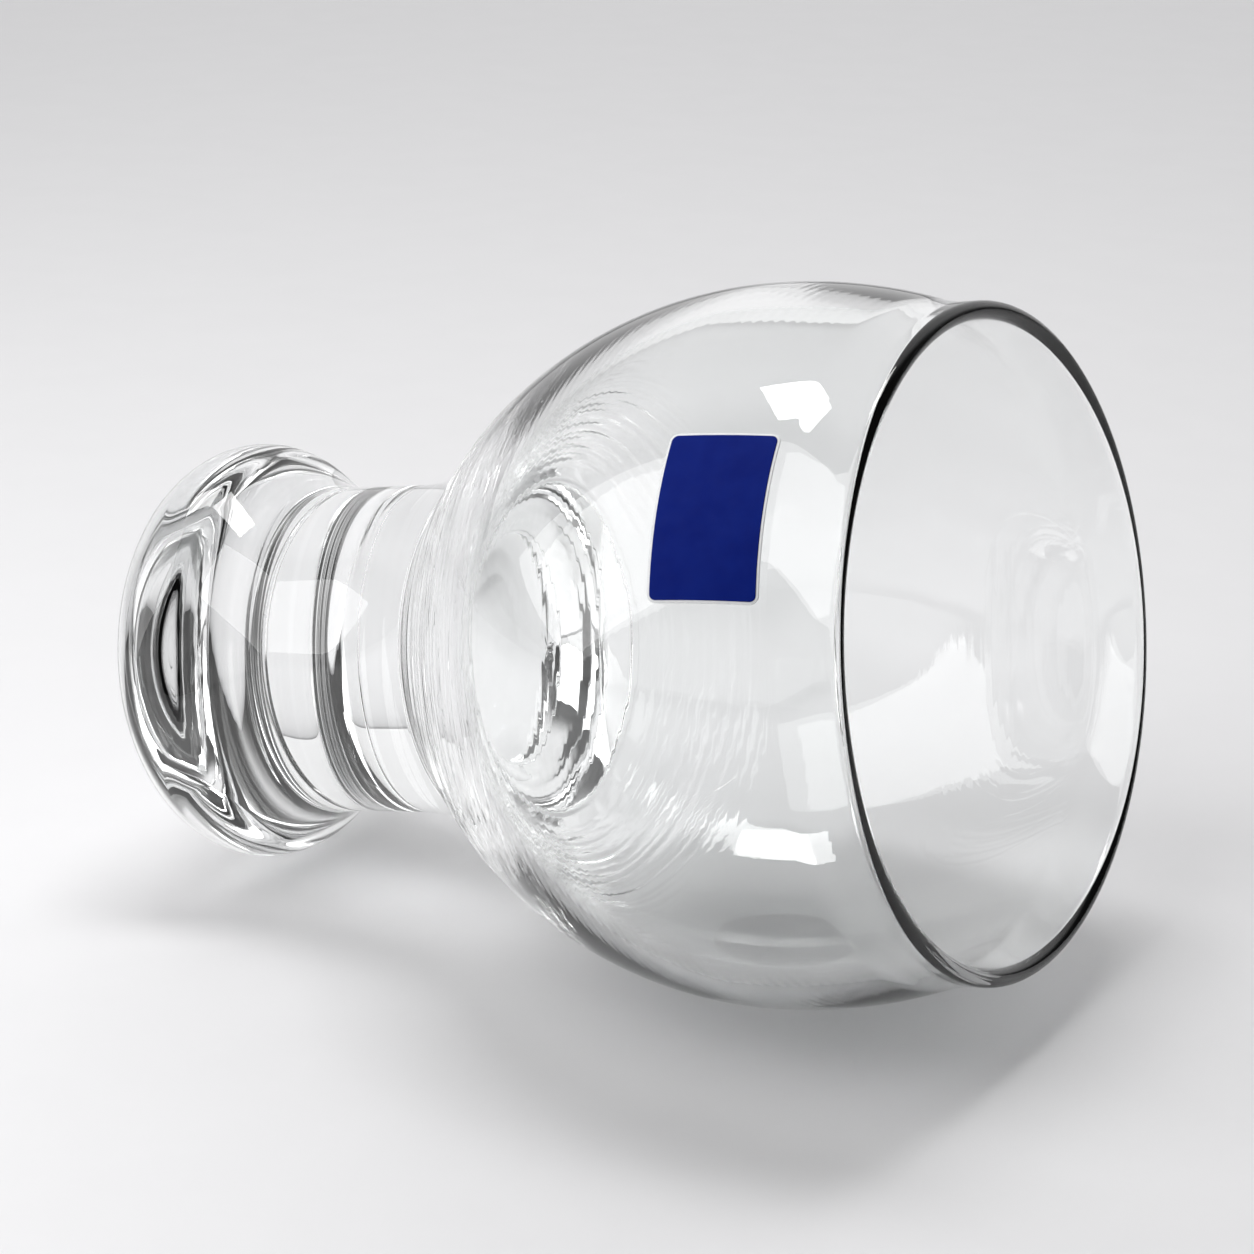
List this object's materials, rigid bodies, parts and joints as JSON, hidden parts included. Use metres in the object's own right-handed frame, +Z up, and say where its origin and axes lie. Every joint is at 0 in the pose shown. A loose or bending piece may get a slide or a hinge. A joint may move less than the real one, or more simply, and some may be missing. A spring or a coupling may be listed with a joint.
{
  "type": "mixing glass",
  "caption": "Footed glass mixing vessel: a tulip bowl with a rounded lip on a short solid stem and a heavy round-edged foot, with a plain blue label.",
  "frame": {"origin": "centre of the foot's underside, in the plane of its bearing ring", "axes": "+Z up along the glass's axis, from the foot to the rim; the label faces -Y"},
  "size_m": [0.11, 0.11, 0.1457],
  "materials": {
    "bowl_glass": "clear, fire-polished, with fine ripples round the hip",
    "stem_glass": "clear, polished",
    "foot_glass": "clear, polished",
    "label_film": "smooth white film",
    "label_print": "smooth blue print, satin gloss"
  },
  "bodies": {
    "root": {"bowl": "bowl_glass", "stem": "stem_glass", "foot": "foot_glass", "label_film": "label_film", "label_print": "label_print"}
  },
  "joints": []
}
